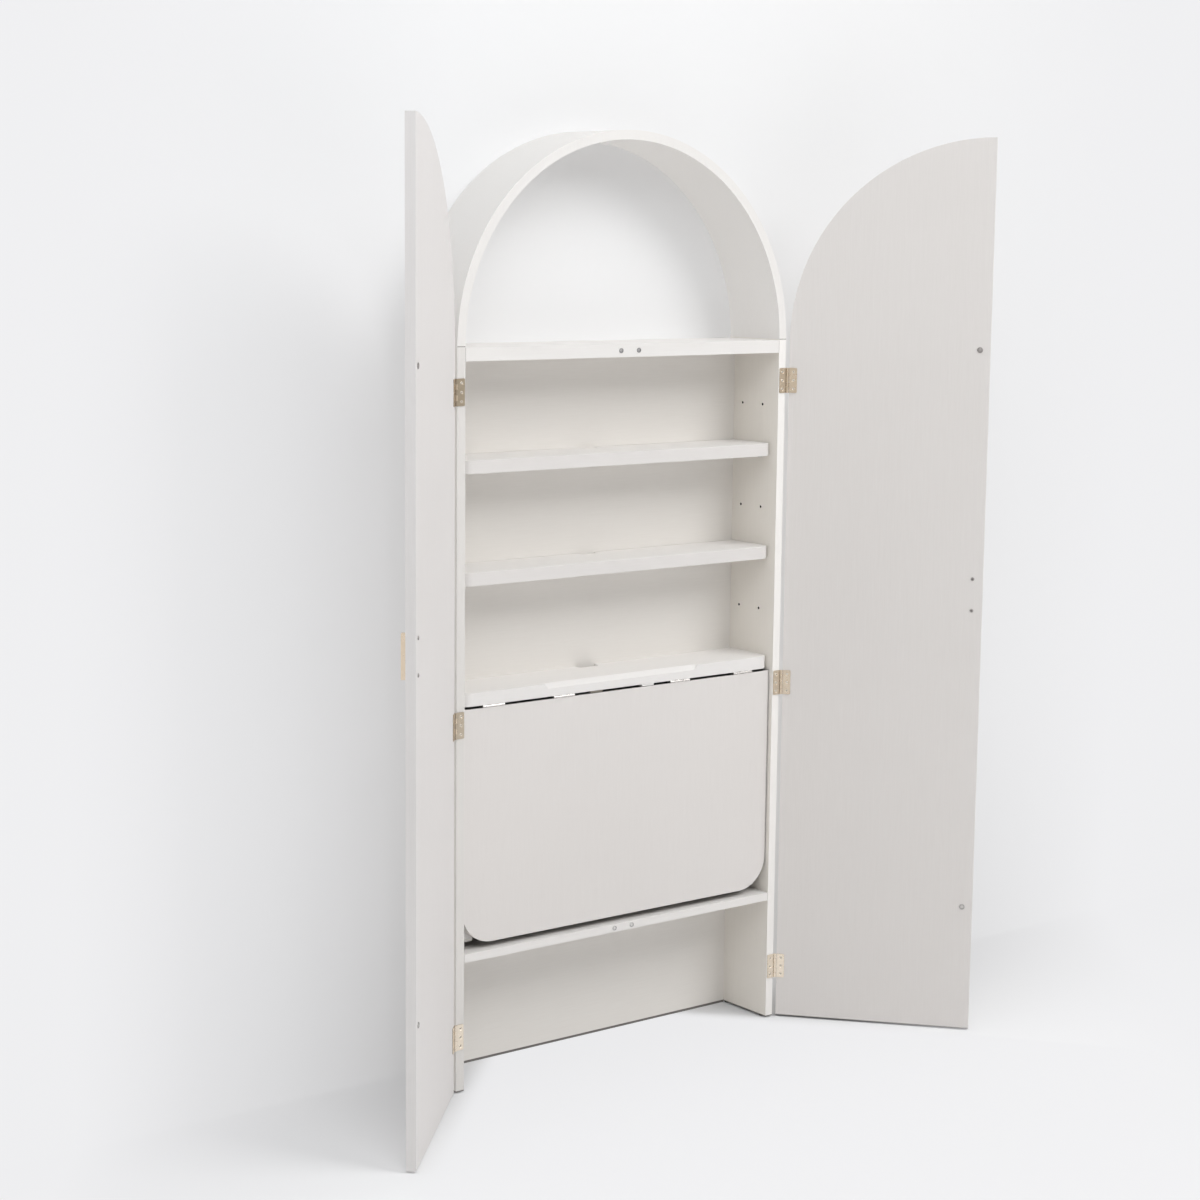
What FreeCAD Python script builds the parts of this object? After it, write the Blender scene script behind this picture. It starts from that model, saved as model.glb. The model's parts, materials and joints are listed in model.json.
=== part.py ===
import FreeCAD, Part
import math
import os

# Arched two-door cabinet fixed to a wall, with shelves and a desk flap that lifts up.
# Frame: X across, Y from the room towards the wall (wall plane at 0), Z up from the floor.
# Lengths are millimetres and angles are degrees.

# Carcass
WIDTH = 800.0
DEPTH = 150.0
BOARD = 18.0
SPRING_Z = 1410.0
BACK_BOARD = 15.0
SHELF_BOARD = 25.0
LOWER_BOARD = 16.0
TOP_SHELF_DROP = 2.0
LOWER_SHELF_Z = 253.0
DESK_SHELF_Z = 740.5
GLIDE_HEIGHT = 3.0
GLIDE_RADIUS = 7.0
GLIDE_INSET = 20.0

# Shelves
SHELF_RECESS = 10.0
SHELF_CORNER = 24.0
SHELF_SIDE_GAP = 1.5
SHELF_REAR_GAP = 1.0
NOTCH_WIDTH = 40.0
DESK_NOTCH_WIDTH = 50.0
NOTCH_DEPTH = 18.0
NOTCH_CORNER = 5.0
BEVEL_LENGTH = 380.0
BEVEL = 9.4

# Shelf pins and their hole rows, counted upwards
PIN_RADIUS = 2.5
PIN_SUNK = 10.0
PIN_STUB = 9.0
PIN_FIRST_RISE = 94.2
PIN_LAST_DROP = 105.7
PIN_ROWS = 5
MIDDLE_SHELF_ROW = 1
UPPER_SHELF_ROW = 3
PIN_FRONT_INSET = 47.0
PIN_REAR_INSET = 42.0
PIN_SEAT_GAP = 0.05

# Dowels and screws of the carcass
DOWEL_RADIUS = 4.0
DOWEL_IN_SIDE = 12.0
DOWEL_IN_SHELF = 18.0
DOWEL_INSET = 40.0
ARCH_DOWEL_INSET = 60.0
DOWEL_END_GAP = 0.5
BACK_SCREW_RADIUS = 2.0
BACK_SCREW_HEAD_RADIUS = 4.0
BACK_SCREW_LENGTH = 40.0
BACK_SCREW_SPREAD = 250.0
WALL_HOLE_RADIUS = 3.0
WALL_HOLE_SPACING = 500.0
WALL_HOLE_Z = 700.0

# Doors
DOOR_GAP = 4.0
DOOR_MEETING_GAP = 2.0
DOOR_FLOOR_GAP = 4.0
LEFT_DOOR_ANGLE = 133.8
RIGHT_DOOR_ANGLE = 130.4
LOW_HINGE_Z = 110.2
HIGH_HINGE_DROP = 82.5
MIDDLE_HINGE_SHARE = 0.493
DOOR_AXIS_OUT = 3.4
DOOR_HINGE = {
    "length": 50.0,
    "reach": 19.4,
    "plate": 1.6,
    "half_gap": DOOR_GAP / 2,
    "knuckle_radius": 3.0,
    "pin_radius": 1.5,
    "corner": 2.0,
    "screw_reach": 12.4,
    "screw_pitch": 17.0,
    "screw_radius": 1.75,
    "head_radius": 3.4,
    "screw_length": 14.0,
}
FITTING_INSET = 21.5
HANDLE_Z = 906.0
HANDLE_LENGTH = 80.0
HANDLE_WIDTH = 9.0
HANDLE_DEPTH = 11.0
HANDLE_EDGE = 1.5
HANDLE_SCREW_SPACING = 64.0
HANDLE_SCREW_RADIUS = 2.0
HANDLE_SCREW_BITE = 7.0
HANDLE_SCREW_HEAD_RADIUS = 3.6
HANDLE_SCREW_HEAD_HEIGHT = 1.8
MAGNET_RADIUS = 4.8
MAGNET_LENGTH = 12.0
MAGNET_PROUD = 1.2
STRIKE_RADIUS = 5.5
STRIKE_THICKNESS = 1.4
STRIKE_NAIL_RADIUS = 1.2
STRIKE_NAIL_LENGTH = 8.0

# Desk flap
FLAP_SIDE_GAP = 2.0
FLAP_TOP_GAP = 5.0
FLAP_BOTTOM_Z = 282.0
FLAP_CORNER = 69.0
FLAP_HINGE_INSET = 73.0
FLAP_HINGE_SHARES = (-1, -0.466, 0.466, 1)
FLAP_HINGE = {
    "length": 50.0,
    "reach": 17.0,
    "plate": 1.2,
    "half_gap": FLAP_TOP_GAP / 2,
    "knuckle_radius": 2.2,
    "pin_radius": 1.1,
    "corner": 2.0,
    "screw_reach": 9.5,
    "screw_pitch": 17.0,
    "screw_radius": 1.3,
    "head_radius": 2.4,
    "screw_length": 13.0,
}
KNUCKLES = 5
KNUCKLE_GAP = 0.2
BLOCK_X = 64.0
BLOCK_WIDTH = 30.0
BLOCK_DEPTH = 12.0
BLOCK_SETBACK = 1.0
BLOCK_GAP = 0.5

# Props that swing down from the flap and press on pads on the back panel
PROP_INSET = 27.0
PROP_FOOT_RISE = 6.0
PROP_LEAN_ANGLE = 60.0
PROP_WIDTH = 28.0
PROP_THICKNESS = 16.0
PROP_OFFSET = 11.5
PROP_PIN_RADIUS = 3.0
PROP_PIN_PROUD = 1.0
BRACKET_PLATE = 2.0
BRACKET_HEIGHT = 56.0
BRACKET_SIDE_GAP = 0.5
BRACKET_SCREW_RADIUS = 1.75
BRACKET_SCREW_HEAD_RADIUS = 3.4
BRACKET_SCREW_LENGTH = 14.0
BRACKET_SCREW_PITCH = 20.0
PAD_WIDTH = 40.0
PAD_HEIGHT = 70.0
PAD_THICKNESS = 6.9
PAD_GAP = 0.3

# Clearances and the overrun of every cut
FIT = 0.05
OVERRUN = 1.0

# Places worked out from the sizes above
HALF_WIDTH = WIDTH / 2
INNER_X = HALF_WIDTH - BOARD
FRONT_Y = -DEPTH
BACK_Y = -BACK_BOARD
RECESS_Y = FRONT_Y + SHELF_RECESS
TOP_SHELF_TOP = SPRING_Z - TOP_SHELF_DROP
TOP_SHELF_Z = TOP_SHELF_TOP - SHELF_BOARD
PIN_FIRST_Z = DESK_SHELF_Z + SHELF_BOARD + PIN_FIRST_RISE
PIN_PITCH = (TOP_SHELF_Z - PIN_LAST_DROP - PIN_FIRST_Z) / (PIN_ROWS - 1)
PIN_YS = (FRONT_Y + PIN_FRONT_INSET, -PIN_REAR_INSET)
DOWEL_YS = (FRONT_Y + DOWEL_INSET, -DOWEL_INSET)
ARCH_DOWEL_YS = (FRONT_Y + ARCH_DOWEL_INSET, -ARCH_DOWEL_INSET)
SIDE_MIDDLE_X = HALF_WIDTH - BOARD / 2
LOWER_MIDDLE_Z = LOWER_SHELF_Z + LOWER_BOARD / 2
DESK_MIDDLE_Z = DESK_SHELF_Z + SHELF_BOARD / 2
TOP_MIDDLE_Z = TOP_SHELF_Z + SHELF_BOARD / 2
DOOR_INNER_Y = FRONT_Y - DOOR_GAP
DOOR_OUTER_Y = DOOR_INNER_Y - BOARD
DOOR_AXIS_X = HALF_WIDTH + DOOR_AXIS_OUT
DOOR_AXIS_Y = FRONT_Y - DOOR_GAP / 2
HIGH_HINGE_Z = SPRING_Z - HIGH_HINGE_DROP
MIDDLE_HINGE_Z = LOW_HINGE_Z + MIDDLE_HINGE_SHARE * (HIGH_HINGE_Z - LOW_HINGE_Z)
DOOR_HINGE_ZS = (LOW_HINGE_Z, MIDDLE_HINGE_Z, HIGH_HINGE_Z)
FLAP_BACK_Y = RECESS_Y + BOARD
FLAP_TOP_Z = DESK_SHELF_Z - FLAP_TOP_GAP
FLAP_AXIS_Z = DESK_SHELF_Z - FLAP_TOP_GAP / 2
FLAP_HINGE_XS = [share * (INNER_X - FLAP_HINGE_INSET) for share in FLAP_HINGE_SHARES]
PROP_X = INNER_X - PROP_INSET
PROP_AXIS_Y = FLAP_BACK_Y + PROP_OFFSET
PROP_RADIUS = PROP_THICKNESS / 2
PAD_FRONT_Y = BACK_Y - PAD_THICKNESS
PAD_REACH = PAD_FRONT_Y - PAD_GAP - PROP_RADIUS - RECESS_Y
PROP_HANG = FLAP_AXIS_Z - FLAP_BOTTOM_Z - PROP_FOOT_RISE
LEAN_RUN_SHARE = math.sin(math.radians(PROP_LEAN_ANGLE))
LEAN_FALL_SHARE = math.cos(math.radians(PROP_LEAN_ANGLE))
PROP_DROP = (PROP_HANG * LEAN_RUN_SHARE - PAD_REACH) / (1 + LEAN_RUN_SHARE)
PROP_LENGTH = PROP_HANG - PROP_DROP
PROP_AXIS_Z = FLAP_AXIS_Z - PROP_DROP
RAISED_FOOT_Z = FLAP_AXIS_Z - BOARD - PROP_OFFSET - PROP_LENGTH * LEAN_FALL_SHARE

V = FreeCAD.Vector
ORIGIN = V(0, 0, 0)
X_AXIS = V(1, 0, 0)
Y_AXIS = V(0, 1, 0)
Z_AXIS = V(0, 0, 1)


def save(node, shape):
    """Write one node's solids."""
    shape.exportStep("parts/" + node + ".step")


def group(solids):
    """Keep several separate solids in one node."""
    return Part.makeCompound(list(solids))


def block(low, high):
    """A box between two corners."""
    size = high - low
    return Part.makeBox(size.x, size.y, size.z, low)


def rod(radius, start, direction, length):
    """A round bar from a start point along a direction."""
    return Part.makeCylinder(radius, length, start, direction)


def joined(shape, others):
    """One solid made of a shape and the pieces that run into it."""
    return shape.fuse(others).removeSplitter().Solids[0]


def screw(radius, head_radius, sink, start, direction, length):
    """A countersunk screw whose flat head lies at the start point."""
    head = Part.makeCone(head_radius, radius, sink, start, direction)
    return joined(head, [rod(radius, start, direction, length)])


def mirrored(shape):
    """The same shape on the other side of the middle plane."""
    return shape.mirror(ORIGIN, X_AXIS)


def both_sides(solids):
    """Each solid and its mirror image."""
    right = list(solids)
    return right + [mirrored(solid) for solid in right]


def turned(shape, point, axis, angle):
    """A copy turned about a line."""
    copy = shape.copy()
    copy.rotate(point, axis, angle)
    return copy


def rounded_face(corners):
    """A flat face in X and Y through (x, y, radius) corners, each rounded by its radius."""
    count = len(corners)
    starts = []
    ends = []
    middles = []
    for index, (x, y, radius) in enumerate(corners):
        here = V(x, y, 0)
        before = V(*corners[index - 1][:2], 0) - here
        after = V(*corners[(index + 1) % count][:2], 0) - here
        before.normalize()
        after.normalize()
        half = before.getAngle(after) / 2
        run = radius / math.tan(half)
        inward = before + after
        inward.normalize()
        starts.append(here + before * run)
        ends.append(here + after * run)
        middles.append(here + inward * (radius / math.sin(half) - radius))
    edges = []
    for index in range(count):
        if corners[index][2] > 0:
            edges.append(Part.Arc(starts[index], middles[index], ends[index]).toShape())
        edges.append(Part.makeLine(ends[index], starts[(index + 1) % count]))
    return Part.Face(Part.Wire(edges))


def upright(face, front_y, thickness):
    """Stand a face drawn in X and Y up as X and Z, and give it a thickness behind front_y."""
    panel = turned(face.extrude(V(0, 0, -thickness)), ORIGIN, X_AXIS, 90)
    panel.translate(V(0, front_y, 0))
    return panel


def cut_all(shape, tools):
    """The solid left when a list of tools is taken out of a shape."""
    return shape.cut(list(tools)).Solids[0]


# Hinges are drawn with their axis on Z, the leaf reaching along -X and the fixed leaf at +Y.
def leaf_screw_places(hinge):
    """The points where a hinge leaf's screws start, on the face turned to the other leaf."""
    depth = hinge["half_gap"] - hinge["plate"]
    return [V(-hinge["screw_reach"], depth, step * hinge["screw_pitch"]) for step in (-1, 0, 1)]


def leaf_screws(hinge, spare=0):
    """The screws of one leaf, or with a spare the holes for them."""
    return [
        screw(
            hinge["screw_radius"] + spare,
            hinge["head_radius"] + spare,
            hinge["plate"],
            place,
            Y_AXIS,
            hinge["screw_length"] + spare,
        )
        for place in leaf_screw_places(hinge)
    ]


def hinge_leaf(hinge, first_knuckle):
    """One leaf with every second knuckle, its bore and its screw holes."""
    length = hinge["length"]
    radius = hinge["knuckle_radius"]
    inner = hinge["half_gap"] - hinge["plate"]
    root = -(radius + KNUCKLE_GAP)
    half = length / 2
    corner = hinge["corner"]
    outline = ((-hinge["reach"], -half, corner), (root, -half, 0), (root, half, 0))
    outline += ((-hinge["reach"], half, corner),)
    leaf = upright(rounded_face(outline), inner, hinge["plate"])
    step = length / KNUCKLES
    for index in range(first_knuckle, KNUCKLES, 2):
        low = index * step - half + KNUCKLE_GAP / 2
        high = low + step - KNUCKLE_GAP
        tab = block(V(root, inner, low), V(0, hinge["half_gap"], high))
        leaf = joined(leaf, [tab, rod(radius, V(0, 0, low), Z_AXIS, high - low)])
    bore = rod(hinge["pin_radius"] + FIT, V(0, 0, -half - OVERRUN), Z_AXIS, length + 2 * OVERRUN)
    return cut_all(leaf, [bore] + leaf_screws(hinge, FIT))


def hinge_pin(hinge):
    """The pin of one hinge."""
    return rod(hinge["pin_radius"], V(0, 0, -hinge["length"] / 2), Z_AXIS, hinge["length"])


def moving(shape):
    """Flip a fixed leaf, or its screws, to the moving side of the hinge."""
    return shape.mirror(ORIGIN, Y_AXIS)


def at_door_hinges(shape):
    """Copies of a right-hand hinge piece at every hinge height."""
    copies = []
    for height in DOOR_HINGE_ZS:
        copy = shape.copy()
        copy.translate(V(DOOR_AXIS_X, DOOR_AXIS_Y, height))
        copies.append(copy)
    return copies


def at_flap_hinges(shape):
    """Copies of a hinge piece laid along the flap's axis."""
    laid = FreeCAD.Rotation(-Y_AXIS, Z_AXIS, -X_AXIS, "XYZ")
    copies = []
    for across in FLAP_HINGE_XS:
        copy = shape.copy()
        copy.Placement = FreeCAD.Placement(V(across, RECESS_Y, FLAP_AXIS_Z), laid)
        copies.append(copy)
    return copies


def spread(copier, solids):
    """Every copy of every solid."""
    return [copy for solid in solids for copy in copier(solid)]


def shelf_dowels(spare=0):
    """The right-hand dowels of the fixed shelves, or with a spare the holes for them."""
    start_x = INNER_X - DOWEL_IN_SHELF + DOWEL_END_GAP - spare
    length = DOWEL_IN_SHELF + DOWEL_IN_SIDE - 2 * (DOWEL_END_GAP - spare)
    return [
        rod(DOWEL_RADIUS + min(spare, FIT), V(start_x, y, z), X_AXIS, length)
        for y in DOWEL_YS
        for z in (LOWER_MIDDLE_Z, DESK_MIDDLE_Z, TOP_MIDDLE_Z)
    ]


def arch_dowels(spare=0):
    """The right-hand dowels between side and arch, or with a spare the holes for them."""
    reach = DOWEL_IN_SIDE - DOWEL_END_GAP + spare
    return [
        rod(DOWEL_RADIUS + min(spare, FIT), V(SIDE_MIDDLE_X, y, SPRING_Z - reach), Z_AXIS, 2 * reach)
        for y in ARCH_DOWEL_YS
    ]


def shelf_pin(row, y):
    """One right-hand shelf pin."""
    height = PIN_FIRST_Z + row * PIN_PITCH
    return rod(PIN_RADIUS, V(INNER_X - PIN_STUB, y, height), X_AXIS, PIN_STUB + PIN_SUNK)


def pin_holes():
    """The right-hand rows of shelf-pin holes."""
    start = INNER_X - OVERRUN
    length = PIN_SUNK + DOWEL_END_GAP + OVERRUN
    return [
        rod(PIN_RADIUS + FIT, V(start, y, PIN_FIRST_Z + row * PIN_PITCH), X_AXIS, length)
        for row in range(PIN_ROWS)
        for y in PIN_YS
    ]


def right_side():
    """The right-hand side board with all its holes."""
    board = block(V(INNER_X, FRONT_Y, GLIDE_HEIGHT), V(HALF_WIDTH, 0, SPRING_Z))
    holes = pin_holes() + shelf_dowels(DOWEL_END_GAP) + arch_dowels(DOWEL_END_GAP)
    return cut_all(board, holes + spread(at_door_hinges, leaf_screws(DOOR_HINGE, FIT)))


def arch():
    """The half-round top board."""
    low = V(0, 0, SPRING_Z)
    outer = Part.makeCylinder(HALF_WIDTH, DEPTH, low, -Y_AXIS)
    inner = Part.makeCylinder(INNER_X, DEPTH + 2 * OVERRUN, low + Y_AXIS * OVERRUN, -Y_AXIS)
    below = block(
        V(-HALF_WIDTH - OVERRUN, FRONT_Y - OVERRUN, SPRING_Z - HALF_WIDTH - OVERRUN),
        V(HALF_WIDTH + OVERRUN, OVERRUN, SPRING_Z),
    )
    return cut_all(outer, [inner, below] + both_sides(arch_dowels(DOWEL_END_GAP)))


def magnets(spare=0):
    """The right-hand magnet catches in the shelf fronts, or with a spare their holes."""
    length = MAGNET_LENGTH + spare
    return [
        rod(MAGNET_RADIUS + spare, V(FITTING_INSET, FRONT_Y - MAGNET_PROUD, z), Y_AXIS, length)
        for z in (LOWER_MIDDLE_Z, TOP_MIDDLE_Z)
    ]


def back_screws(spare=0):
    """The screws through the back panel into the two lower fixed shelves, or their holes."""
    return [
        screw(
            BACK_SCREW_RADIUS + spare,
            BACK_SCREW_HEAD_RADIUS + spare,
            BACK_SCREW_HEAD_RADIUS - BACK_SCREW_RADIUS,
            V(x, 0, z),
            -Y_AXIS,
            BACK_SCREW_LENGTH + spare,
        )
        for z in (LOWER_MIDDLE_Z, DESK_MIDDLE_Z)
        for x in (-BACK_SCREW_SPREAD, BACK_SCREW_SPREAD)
    ]


def fixed_shelf(low_z, thickness, rear_y):
    """A square shelf flush with the carcass front, with its fixings' holes."""
    board = block(V(-INNER_X, FRONT_Y, low_z), V(INNER_X, rear_y, low_z + thickness))
    holes = both_sides(shelf_dowels(DOWEL_END_GAP) + magnets(FIT)) + back_screws(FIT)
    return cut_all(board, holes)


def recessed_shelf(low_z, half_length, rear_y, notch_width):
    """A set-back shelf with rounded front corners and a cable notch at the rear."""
    notch = notch_width / 2
    notch_y = rear_y - NOTCH_DEPTH
    face = rounded_face(
        (
            (-half_length, RECESS_Y, SHELF_CORNER),
            (half_length, RECESS_Y, SHELF_CORNER),
            (half_length, rear_y, 0),
            (notch, rear_y, 0),
            (notch, notch_y, NOTCH_CORNER),
            (-notch, notch_y, NOTCH_CORNER),
            (-notch, rear_y, 0),
            (-half_length, rear_y, 0),
        )
    )
    face.translate(V(0, 0, low_z))
    return face.extrude(V(0, 0, SHELF_BOARD))


def loose_shelf(row):
    """A shelf that lies on its pins."""
    low_z = PIN_FIRST_Z + row * PIN_PITCH + PIN_RADIUS + PIN_SEAT_GAP
    return recessed_shelf(low_z, INNER_X - SHELF_SIDE_GAP, BACK_Y - SHELF_REAR_GAP, NOTCH_WIDTH)


def bevel_cutters():
    """The bevel along the middle of the desk shelf's top edge, with cone-shaped ends."""
    top = DESK_SHELF_Z + SHELF_BOARD
    end = BEVEL_LENGTH / 2 - BEVEL
    points = (
        V(-end, RECESS_Y - OVERRUN, top - BEVEL - OVERRUN),
        V(-end, RECESS_Y + BEVEL + OVERRUN, top + OVERRUN),
        V(-end, RECESS_Y - OVERRUN, top + OVERRUN),
    )
    run = Part.Face(Part.makePolygon(points + points[:1])).extrude(V(2 * end, 0, 0))
    reach = BEVEL + OVERRUN
    cone = Part.makeCone(0, reach, reach, V(end, RECESS_Y, top - BEVEL), Z_AXIS)
    return [run, cone, mirrored(cone)]


def desk_shelf():
    """The fixed shelf that carries the flap."""
    board = recessed_shelf(DESK_SHELF_Z, INNER_X, BACK_Y, DESK_NOTCH_WIDTH)
    holes = both_sides(shelf_dowels(DOWEL_END_GAP)) + back_screws(FIT)
    holes += spread(at_flap_hinges, leaf_screws(FLAP_HINGE, FIT))
    return cut_all(board, bevel_cutters() + holes)


def wall_holes():
    """The two holes for the screws into the wall."""
    return [
        rod(WALL_HOLE_RADIUS, V(x, OVERRUN, WALL_HOLE_Z), -Y_AXIS, BACK_BOARD + 2 * OVERRUN)
        for x in (-WALL_HOLE_SPACING / 2, WALL_HOLE_SPACING / 2)
    ]


def back_panel():
    """The back panel between the sides, from the floor to the top shelf."""
    board = block(V(-INNER_X, BACK_Y, 0), V(INNER_X, 0, TOP_SHELF_Z))
    return cut_all(board, wall_holes() + back_screws(FIT))


def gap_block():
    """The right-hand block under the desk shelf, in the gap above the flap."""
    front = RECESS_Y + BLOCK_SETBACK
    low = V(BLOCK_X - BLOCK_WIDTH / 2, front, FLAP_TOP_Z + BLOCK_GAP)
    return block(low, V(BLOCK_X + BLOCK_WIDTH / 2, front + BLOCK_DEPTH, DESK_SHELF_Z))


def rest_pad():
    """The right-hand pad on the back panel that a raised prop's foot presses on."""
    low = V(PROP_X - PAD_WIDTH / 2, PAD_FRONT_Y, RAISED_FOOT_Z - PAD_HEIGHT / 2)
    return block(low, V(PROP_X + PAD_WIDTH / 2, BACK_Y, RAISED_FOOT_Z + PAD_HEIGHT / 2))


def handle_screws(spare=0):
    """The closed right door's handle screws, or with a spare the holes for their shanks."""
    screws = []
    for side in (-1, 1):
        z = HANDLE_Z + side * HANDLE_SCREW_SPACING / 2
        start = V(FITTING_INSET, DOOR_INNER_Y, z)
        length = BOARD + HANDLE_SCREW_BITE + spare
        shank = rod(HANDLE_SCREW_RADIUS + spare, start, -Y_AXIS, length)
        head = rod(HANDLE_SCREW_HEAD_RADIUS, start, Y_AXIS, HANDLE_SCREW_HEAD_HEIGHT)
        screws.append(shank if spare else joined(shank, [head]))
    return screws


def handle():
    """The closed right door's low bar handle."""
    half = HANDLE_WIDTH / 2
    bar = block(
        V(FITTING_INSET - half, DOOR_OUTER_Y - HANDLE_DEPTH, HANDLE_Z - HANDLE_LENGTH / 2),
        V(FITTING_INSET + half, DOOR_OUTER_Y, HANDLE_Z + HANDLE_LENGTH / 2),
    )
    front = [edge for edge in bar.Edges if edge.CenterOfMass.y < DOOR_OUTER_Y - HANDLE_DEPTH / 2]
    outer = [edge for edge in front if edge.BoundBox.YLength < HANDLE_EDGE]
    return cut_all(bar.makeFillet(HANDLE_EDGE, outer), handle_screws(FIT))


def strikes(spare=0):
    """The closed right door's strike plates with their nails, or the holes for the nails."""
    plates = []
    for z in (LOWER_MIDDLE_Z, TOP_MIDDLE_Z):
        start = V(FITTING_INSET, DOOR_INNER_Y, z)
        nail = rod(STRIKE_NAIL_RADIUS + spare, start, -Y_AXIS, STRIKE_NAIL_LENGTH + spare)
        plate = rod(STRIKE_RADIUS, start, Y_AXIS, STRIKE_THICKNESS)
        plates.append(nail if spare else joined(nail, [plate]))
    return plates


def door():
    """The closed right door, a half arch."""
    edge = DOOR_MEETING_GAP / 2
    crown = SPRING_Z + math.sqrt(HALF_WIDTH**2 - edge**2)
    middle = HALF_WIDTH * math.sqrt(0.5)
    inner_low = V(edge, DOOR_INNER_Y, DOOR_FLOOR_GAP)
    outer_low = V(HALF_WIDTH, DOOR_INNER_Y, DOOR_FLOOR_GAP)
    spring = V(HALF_WIDTH, DOOR_INNER_Y, SPRING_Z)
    top = V(edge, DOOR_INNER_Y, crown)
    arc = Part.Arc(spring, V(middle, DOOR_INNER_Y, SPRING_Z + middle), top).toShape()
    sides = [Part.makeLine(inner_low, outer_low), Part.makeLine(outer_low, spring)]
    outline = Part.Wire(sides + [arc, Part.makeLine(top, inner_low)])
    panel = Part.Face(outline).extrude(V(0, -BOARD, 0))
    holes = spread(at_door_hinges, [moving(hole) for hole in leaf_screws(DOOR_HINGE, FIT)])
    return cut_all(panel, holes + handle_screws(FIT) + strikes(FIT))


def door_pieces():
    """Every piece of the closed right door, by the end of its node's name."""
    leaf = moving(hinge_leaf(DOOR_HINGE, 1))
    screws = [moving(piece) for piece in leaf_screws(DOOR_HINGE)]
    return {
        "door": door(),
        "door_hinge_leaves": group(at_door_hinges(leaf)),
        "door_hinge_pins": group(at_door_hinges(hinge_pin(DOOR_HINGE))),
        "door_hinge_screws": group(spread(at_door_hinges, screws)),
        "handle": handle(),
        "handle_screws": group(handle_screws()),
        "strikes": group(strikes()),
    }


def bracket_screws(spare=0):
    """The right-hand bracket's screws into the flap, or with a spare the holes for them."""
    return [
        screw(
            BRACKET_SCREW_RADIUS + spare,
            BRACKET_SCREW_HEAD_RADIUS + spare,
            BRACKET_PLATE,
            V(PROP_X, FLAP_BACK_Y + BRACKET_PLATE, PROP_AXIS_Z + step * BRACKET_SCREW_PITCH),
            -Y_AXIS,
            BRACKET_SCREW_LENGTH + spare,
        )
        for step in (-1, 1)
    ]


def prop_pin(spare=0):
    """The right-hand prop's pivot pin, or with a spare the hole for it."""
    half = PROP_WIDTH / 2 + BRACKET_SIDE_GAP + BRACKET_PLATE + PROP_PIN_PROUD
    return rod(PROP_PIN_RADIUS + spare, V(PROP_X - half, PROP_AXIS_Y, PROP_AXIS_Z), X_AXIS, 2 * half)


def prop_bracket():
    """The right-hand bracket on the back of the flap, with an ear each side of the prop."""
    inner = PROP_WIDTH / 2 + BRACKET_SIDE_GAP
    outer = inner + BRACKET_PLATE
    half = BRACKET_HEIGHT / 2
    bracket = block(
        V(PROP_X - outer, FLAP_BACK_Y, PROP_AXIS_Z - half),
        V(PROP_X + outer, FLAP_BACK_Y + BRACKET_PLATE, PROP_AXIS_Z + half),
    )
    for low_x in (PROP_X - outer, PROP_X + inner):
        web = block(
            V(low_x, FLAP_BACK_Y, PROP_AXIS_Z - PROP_RADIUS),
            V(low_x + BRACKET_PLATE, PROP_AXIS_Y, PROP_AXIS_Z + PROP_RADIUS),
        )
        eye = rod(PROP_RADIUS, V(low_x, PROP_AXIS_Y, PROP_AXIS_Z), X_AXIS, BRACKET_PLATE)
        bracket = joined(bracket, [web, eye])
    return cut_all(bracket, [prop_pin(FIT)] + bracket_screws(FIT))


def prop_arm():
    """The right-hand prop, hanging behind the flap."""
    low_x = PROP_X - PROP_WIDTH / 2
    bar = block(
        V(low_x, PROP_AXIS_Y - PROP_RADIUS, PROP_AXIS_Z - PROP_LENGTH),
        V(low_x + PROP_WIDTH, PROP_AXIS_Y + PROP_RADIUS, PROP_AXIS_Z),
    )
    head = rod(PROP_RADIUS, V(low_x, PROP_AXIS_Y, PROP_AXIS_Z), X_AXIS, PROP_WIDTH)
    return joined(bar, [head]).cut(prop_pin(FIT))


def prop_foot():
    """The right-hand prop's half-round soft foot."""
    low_x = PROP_X - PROP_WIDTH / 2
    foot_z = PROP_AXIS_Z - PROP_LENGTH
    foot = rod(PROP_RADIUS, V(low_x, PROP_AXIS_Y, foot_z), X_AXIS, PROP_WIDTH)
    above = block(
        V(low_x - OVERRUN, PROP_AXIS_Y - PROP_THICKNESS, foot_z),
        V(low_x + PROP_WIDTH + OVERRUN, PROP_AXIS_Y + PROP_THICKNESS, foot_z + PROP_THICKNESS),
    )
    return foot.cut(above)


def flap():
    """The desk flap, hanging down behind the carcass front."""
    half = INNER_X - FLAP_SIDE_GAP
    face = rounded_face(
        (
            (-half, FLAP_BOTTOM_Z, FLAP_CORNER),
            (half, FLAP_BOTTOM_Z, FLAP_CORNER),
            (half, FLAP_TOP_Z, 0),
            (-half, FLAP_TOP_Z, 0),
        )
    )
    holes = [moving(hole) for hole in leaf_screws(FLAP_HINGE, FIT)]
    holes = spread(at_flap_hinges, holes) + both_sides(bracket_screws(FIT))
    return cut_all(upright(face, RECESS_Y, BOARD), holes)


# Carcass nodes
side = right_side()
save("right_side", side)
save("left_side", mirrored(side))
save("arch", arch())
save("top_shelf", fixed_shelf(TOP_SHELF_Z, SHELF_BOARD, 0))
save("lower_shelf", fixed_shelf(LOWER_SHELF_Z, LOWER_BOARD, BACK_Y))
save("desk_shelf", desk_shelf())
save("middle_shelf", loose_shelf(MIDDLE_SHELF_ROW))
save("upper_shelf", loose_shelf(UPPER_SHELF_ROW))
save("back_panel", back_panel())
pins = [shelf_pin(row, y) for row in (MIDDLE_SHELF_ROW, UPPER_SHELF_ROW) for y in PIN_YS]
save("shelf_pins", group(both_sides(pins)))
glides = [
    rod(GLIDE_RADIUS, V(SIDE_MIDDLE_X, y, 0), Z_AXIS, GLIDE_HEIGHT)
    for y in (FRONT_Y + GLIDE_INSET, -GLIDE_INSET)
]
save("floor_glides", group(both_sides(glides)))
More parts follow.
